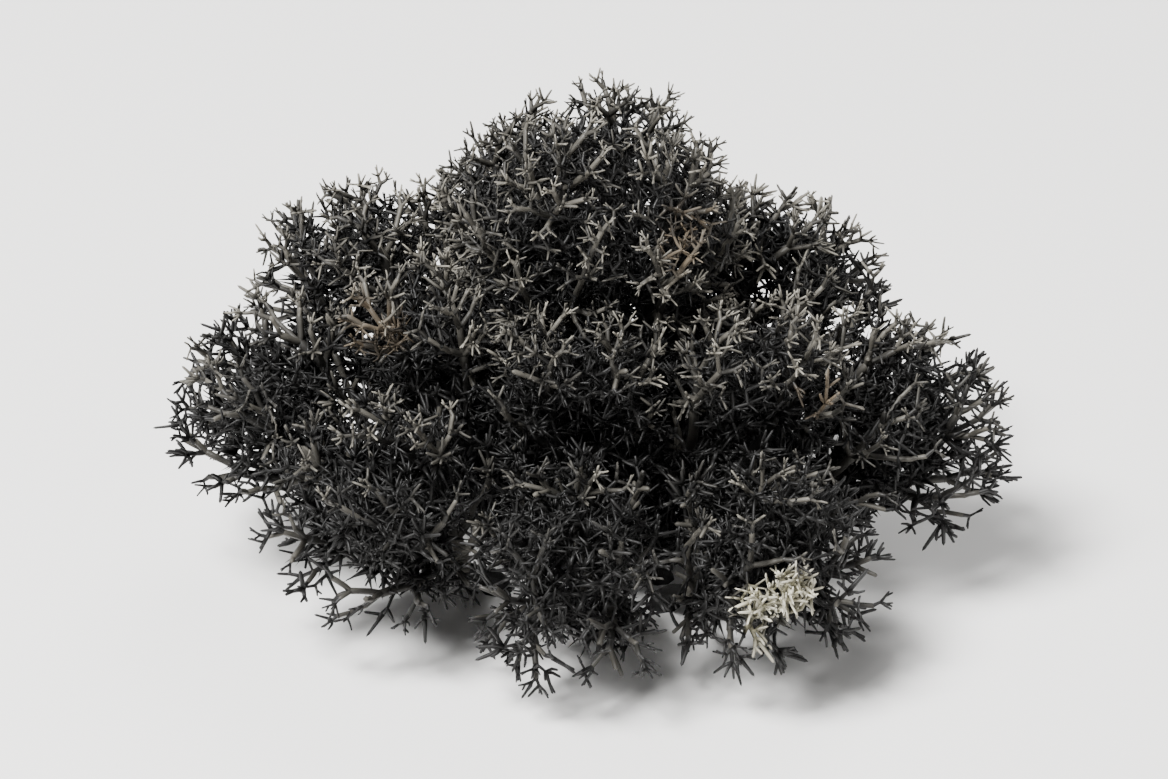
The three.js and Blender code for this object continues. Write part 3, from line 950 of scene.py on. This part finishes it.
def dyed_lichen():
    material = bpy.data.materials.new("black_dyed_lichen")
    material.use_nodes = True
    tree = material.node_tree
    shader = tree.nodes["Principled BSDF"]
    tree.links.new(dye_colour(tree), shader.inputs["Base Color"])
    felt = noise_of(tree, FELT_SCALE, FELT_DETAIL)
    tree.links.new(mapped(tree, felt, FELT_NOISE, FELT_ROUGHNESS), shader.inputs["Roughness"])
    shader.inputs["Specular IOR Level"].default_value = SHEEN
    grain = {"Height": felt, "Distance": FELT_HEIGHT, "Strength": FELT_STRENGTH}
    bump = node_of(tree, "ShaderNodeBump", grain)
    tree.links.new(bump.outputs["Normal"], shader.inputs["Normal"])
    return material


lichen = dyed_lichen()
print("finish:", lichen.name)

# %% [markdown]
# ## From skeleton to skin
# Geometry Nodes turn a skeleton into a surface: each chain becomes a curve with a round skin as
# thick as its points say, and each loose point gets one of the stars, turned along its own way and
# spun at random. Nobody models thousands of tips by hand, and a particle system has no mesh of its
# own that could be kept.

# %% Helpers for the tree of nodes
def add_input(tree, name, kind, default=None):
    socket = tree.interface.new_socket(name=name, in_out="INPUT", socket_type=kind)
    if default is not None:
        socket.default_value = default
    return socket.identifier


def point_value(tree, name, kind="FLOAT"):
    node = node_of(tree, "GeometryNodeInputNamedAttribute", {"Name": name}, data_type=kind)
    return node.outputs["Attribute"]


def more_than(tree, value, limit=None):
    """Whether a value is more than a limit, or than nothing."""
    node = node_of(tree, "FunctionNodeCompare", data_type="FLOAT", operation="GREATER_THAN")
    tree.links.new(value, node.inputs[0])
    if limit is not None:
        tree.links.new(limit, node.inputs[1])
    return node.outputs[0]


# %% Skins of the stalks
def stalk_skins(tree, given):
    """Round skins along the chains, the thick ones with more sides than the twigs."""
    curves = node_of(tree, "GeometryNodeMeshToCurve", {"Mesh": given["Skeleton"]})
    thick = point_value(tree, "thickness")
    is_stalk = more_than(tree, thick, given["Stalk from radius"])
    parts = {"Geometry": curves.outputs[0], "Selection": is_stalk}
    parted = node_of(tree, "GeometryNodeSeparateGeometry", parts, domain="CURVE")
    skins = []
    for part, sides in enumerate(("Stalk sides", "Twig sides")):
        round_ring = {"Resolution": given[sides], "Radius": 1.0}
        ring = node_of(tree, "GeometryNodeCurvePrimitiveCircle", round_ring)
        sweep = {
            "Curve": parted.outputs[part],
            "Profile Curve": ring.outputs[0],
            "Scale": thick,
            "Fill Caps": True,
        }
        skins.append(node_of(tree, "GeometryNodeCurveToMesh", sweep).outputs[0])
    return skins


# %% Stars on their points
def star_turns(tree, given):
    """Turns a star along its own way and spins it at random round that."""
    way = {"Vector": point_value(tree, "way", "FLOAT_VECTOR")}
    aligned = node_of(tree, "FunctionNodeAlignRotationToVector", way, axis="Z")
    spin = node_of(tree, "FunctionNodeRandomValue", {"Seed": given["Seed"]}, data_type="FLOAT")
    least, most = spin.inputs[2:4]  # after the two of a vector
    least.default_value = 0.0
    most.default_value = FULL_TURN
    round_way = {"Axis": (0, 0, 1), "Angle": spin.outputs[1]}
    about = node_of(tree, "FunctionNodeAxisAngleToRotation", round_way)
    both = {"Rotation": aligned.outputs[0], "Rotate By": about.outputs[0]}
    return node_of(tree, "FunctionNodeRotateRotation", both, rotation_space="LOCAL").outputs[0]


def placed_stars(tree, given):
    """A star on every point whose star has a size."""
    star_size = point_value(tree, "star")
    one_by_one = {"Collection": given["Star kinds"], "Separate Children": True, "Reset Children": True}
    kinds = node_of(tree, "GeometryNodeCollectionInfo", one_by_one)
    placing = {
        "Points": given["Skeleton"],
        "Selection": more_than(tree, star_size),
        "Instance": kinds.outputs[0],
        "Pick Instance": True,
        "Instance Index": point_value(tree, "kind", "INT"),
        "Rotation": star_turns(tree, given),
        "Scale": star_size,
    }
    return node_of(tree, "GeometryNodeInstanceOnPoints", placing).outputs[0]


# %% The whole tree of nodes
STALK_SIDES = 9  # of a thick skin
TWIG_SIDES = 4  # of a thin one
STALK_FROM = 0.25 * MM  # radius from which a chain gets a stalk's sides


def skin_tree():
    """The tree, and the identifiers of the inputs that are set for each podetium."""
    tree = bpy.data.node_groups.new("lichen_skin", "GeometryNodeTree")
    tree.interface.new_socket(name="Skeleton", in_out="INPUT", socket_type="NodeSocketGeometry")
    add_input(tree, "Stalk sides", "NodeSocketInt", STALK_SIDES)
    add_input(tree, "Twig sides", "NodeSocketInt", TWIG_SIDES)
    add_input(tree, "Stalk from radius", "NodeSocketFloat", STALK_FROM)
    sockets = {
        "stars": add_input(tree, "Star kinds", "NodeSocketCollection"),
        "seed": add_input(tree, "Seed", "NodeSocketInt", 1),
        "finish": add_input(tree, "Finish", "NodeSocketMaterial"),
    }
    tree.interface.new_socket(name="Skin", in_out="OUTPUT", socket_type="NodeSocketGeometry")
    given = tree.nodes.new("NodeGroupInput").outputs
    joined = node_of(tree, "GeometryNodeJoinGeometry")
    for part in [*stalk_skins(tree, given), placed_stars(tree, given)]:
        tree.links.new(part, joined.inputs[0])
    real = node_of(tree, "GeometryNodeRealizeInstances", {"Geometry": joined.outputs[0]})
    smooth = node_of(tree, "GeometryNodeSetShadeSmooth", {"Geometry": real.outputs[0]})
    finish = {"Geometry": smooth.outputs[0], "Material": given["Finish"]}
    finished = node_of(tree, "GeometryNodeSetMaterial", finish)
    end = tree.nodes.new("NodeGroupOutput")
    tree.links.new(finished.outputs[0], end.inputs[0])
    return tree, sockets


lichen_skin, skin_sockets = skin_tree()
print("the tree has", len(lichen_skin.nodes), "nodes; set for each podetium:", sorted(skin_sockets))

# %% From skeleton to mesh
def skeleton_mesh(name, skeleton):
    """The skeleton as a mesh of points and edges, in metres, with its values on its points."""
    mesh = bpy.data.meshes.new(name)
    mesh.from_pydata((np.array(skeleton.points) * MM).tolist(), skeleton.edges, [])
    for value in POINT_VALUES:
        layer = mesh.attributes.new(value, "FLOAT", "POINT")
        scale = MM if value in ("thickness", "star") else 1
        layer.data.foreach_set("value", (np.array(skeleton.values[value]) * scale).astype(np.float32))
    way = mesh.attributes.new("way", "FLOAT_VECTOR", "POINT")
    way.data.foreach_set("vector", np.array(skeleton.ways, dtype=np.float32).ravel())
    return mesh


def skin_podetium(name, skeleton, seed):
    """A podetium's finished skin: a plain mesh, with the modifier's work applied."""
    piece = bpy.data.objects.new(f"{name}_skin", skeleton_mesh(name, skeleton))
    bpy.context.scene.collection.objects.link(piece)
    modifier = piece.modifiers.new("skin", "NODES")
    modifier.node_group = lichen_skin
    modifier[skin_sockets["stars"]] = star_kinds
    modifier[skin_sockets["seed"]] = seed
    modifier[skin_sockets["finish"]] = lichen
    evaluated = piece.evaluated_get(bpy.context.evaluated_depsgraph_get())
    mesh = bpy.data.meshes.new_from_object(evaluated)
    piece.modifiers.clear()
    piece.data = mesh
    return piece


# %% Skin every podetium
for podetium in PODETIA:
    name = podetium["name"]
    piece = skin_podetium(name, skeletons[name], podetium["seed"])
    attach(piece, "root")
    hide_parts(name)
    triangles = sum(len(face.vertices) - 2 for face in piece.data.polygons)
    print(piece.name, "has", triangles, "triangles")
# The stars that were copied are no pieces of the clump, so they go.
for star in list(star_kinds.objects):
    bpy.data.objects.remove(star)
bpy.data.collections.remove(star_kinds)

# %% [markdown]
# ## Floor, light and camera
# A pale floor and large soft lights, as in a studio: the key comes from above and in front, so that
# the upper side of each twig catches a fine highlight and the inside of the clump stays dark. The
# camera is far away with a long lens, which keeps the shapes as the eye sees them in the hand.

# %% Floor
FLOOR_SIDE = 3.0  # m
FLOOR_COLOUR = (0.80, 0.79, 0.775)
FLOOR_ROUGHNESS = 0.9


def make_floor():
    bm = bmesh.new()
    bmesh.ops.create_grid(bm, x_segments=1, y_segments=1, size=FLOOR_SIDE / 2)
    mesh = bpy.data.meshes.new("floor")
    bm.to_mesh(mesh)
    bm.free()
    floor = bpy.data.objects.new("floor", mesh)
    bpy.context.scene.collection.objects.link(floor)
    paint = bpy.data.materials.new("floor_paint")
    paint.use_nodes = True
    shader = paint.node_tree.nodes["Principled BSDF"]
    shader.inputs["Base Color"].default_value = (*FLOOR_COLOUR, 1)
    shader.inputs["Roughness"].default_value = FLOOR_ROUGHNESS
    mesh.materials.append(paint)


make_floor()
print("floor:", FLOOR_SIDE, "m wide")

# %% Lights
LOOK_AT = Vector((0.3, -3.0, 13.5)) * MM
AMBIENT = 0.17  # strength of the even white light from all round


def outwards(azimuth, elevation):
    """The way from the clump to a place as many degrees right of the front and above the floor."""
    turn, rise = math.radians(azimuth), math.radians(elevation)
    return Vector((math.sin(turn) * math.cos(rise), -math.cos(turn) * math.cos(rise), math.sin(rise)))


def add_light(name, azimuth, elevation, distance, side, power):
    """A square soft light that looks at the clump, in degrees, metres and watts."""
    data = bpy.data.lights.new(name, "AREA")
    data.size = side
    data.energy = power
    light = bpy.data.objects.new(name, data)
    bpy.context.scene.collection.objects.link(light)
    out = outwards(azimuth, elevation)
    light.location = LOOK_AT + out * distance
    light.rotation_euler = (-out).to_track_quat("-Z", "Y").to_euler()


add_light("key", azimuth=-35, elevation=58, distance=0.6, side=0.22, power=15.0)
add_light("fill", azimuth=60, elevation=30, distance=0.8, side=0.50, power=1.6)
add_light("rim", azimuth=170, elevation=45, distance=0.7, side=0.30, power=2.5)
world = bpy.data.worlds.new("studio")
world.use_nodes = True
background = world.node_tree.nodes["Background"]
background.inputs["Color"].default_value = (1, 1, 1, 1)
background.inputs["Strength"].default_value = AMBIENT
bpy.context.scene.world = world
print("lights:", [data.name for data in bpy.data.lights])

# %% Camera
AZIMUTH = 12.6  # degrees to the right of the front
ELEVATION = 28.8  # degrees above the floor
ROLL = 0.9  # degrees
DISTANCE = 0.551  # m
LENS = 262  # mm, long enough to fill the frame with the clump
SENSOR = 36  # mm

camera_data = bpy.data.cameras.new("camera")
camera_data.lens = LENS
camera_data.sensor_width = SENSOR
camera = bpy.data.objects.new("camera", camera_data)
bpy.context.scene.collection.objects.link(camera)
out = outwards(AZIMUTH, ELEVATION)
camera.location = LOOK_AT + out * DISTANCE
facing = (-out).to_track_quat("-Z", "Y")
camera.rotation_euler = (facing @ Euler((0, 0, math.radians(ROLL))).to_quaternion()).to_euler()
bpy.context.scene.camera = camera
print("camera stands", [round(value, 3) for value in camera.location])
